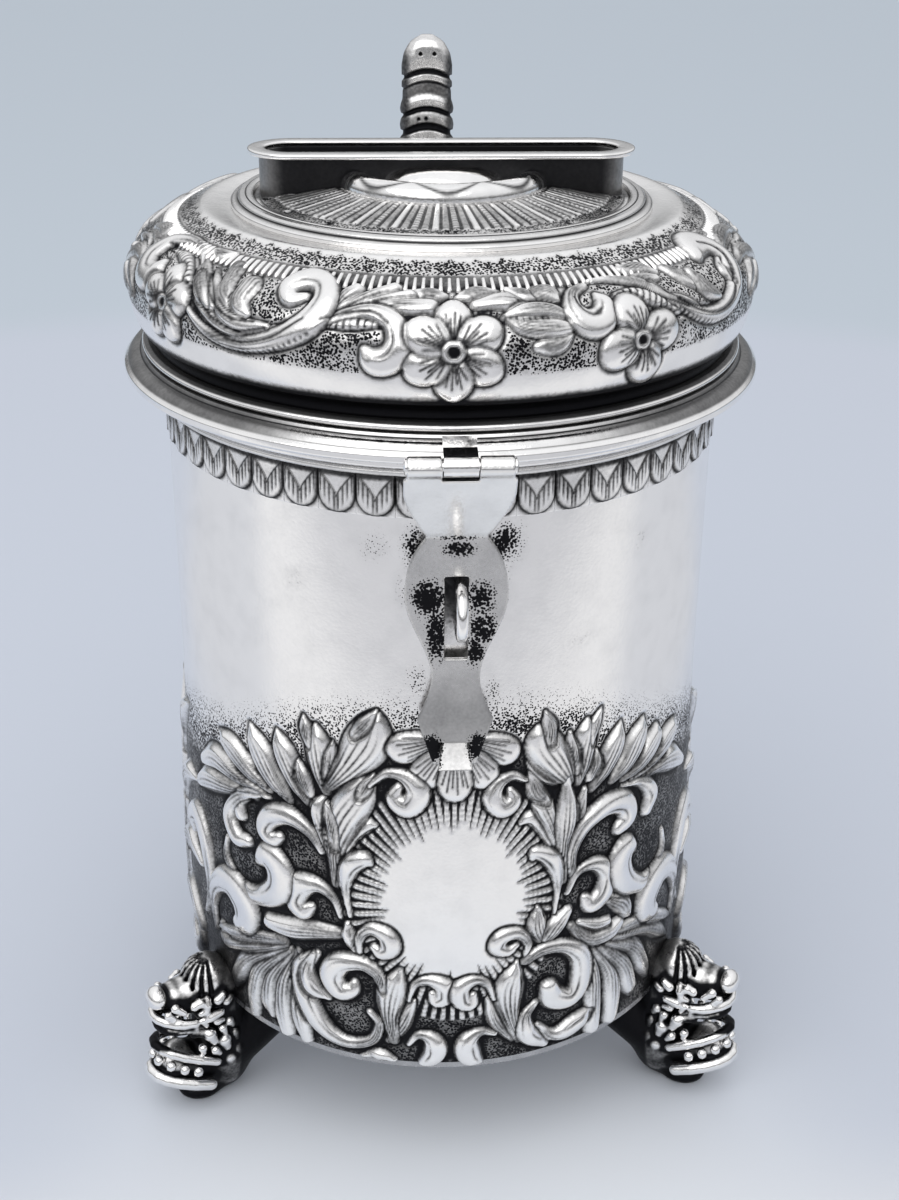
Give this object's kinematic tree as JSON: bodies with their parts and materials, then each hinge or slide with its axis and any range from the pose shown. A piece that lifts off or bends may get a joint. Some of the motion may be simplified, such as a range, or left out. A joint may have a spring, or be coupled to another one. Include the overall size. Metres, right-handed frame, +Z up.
{
  "type": "charity box",
  "caption": "Footed silver tankard-shaped charity box with a chased body, hinged domed lid with a raised coin slot, padlock hasp and staple, and a scroll handle.",
  "frame": {"origin": "middle of the three feet on the table, on the axis of the round body", "axes": "+Z up along the body's axis, hasp towards -Y, handle towards +Y"},
  "size_m": [0.105, 0.1341, 0.1669],
  "materials": {
    "polished_silver": "polished",
    "chased_silver": "chased, oxidised",
    "cast_silver": "cast, oxidised",
    "inner_silver": "matt"
  },
  "bodies": {
    "body": {"body_wall": "chased_silver", "base_plate": "inner_silver", "mouth_band": "polished_silver", "foot_left": "cast_silver", "foot_right": "cast_silver", "foot_back": "cast_silver", "staple": "polished_silver", "handle": "cast_silver", "handle_root": "cast_silver", "handle_tail": "cast_silver", "hinge_block": "cast_silver", "lid_pin": "polished_silver"},
    "lid": {"lid_flange": "polished_silver", "lid_bezel": "inner_silver", "lid_bead": "polished_silver", "lid_dome": "chased_silver", "step_ring": "polished_silver", "crown_plate": "chased_silver", "boss_ring": "polished_silver", "boss_button": "polished_silver", "slot_collar": "polished_silver", "slot_rim": "polished_silver", "hinge_leaf": "cast_silver", "thumbpiece": "cast_silver", "hasp_leaf": "polished_silver", "hasp_pin": "polished_silver"},
    "hasp": {"hasp": "polished_silver"}
  },
  "joints": [
    {"name": "lid_hinge", "type": "hinge", "parent": "body", "child": "lid", "pos_m": [0, 0.05185, 0.1265], "axis": [-1, 0, 0], "range_deg": [0, 95]},
    {"name": "hasp_hinge", "type": "hinge", "parent": "lid", "child": "hasp", "pos_m": [0, -0.0509, 0.126], "axis": [-1, 0, 0], "range_deg": [0, 150]}
  ]
}
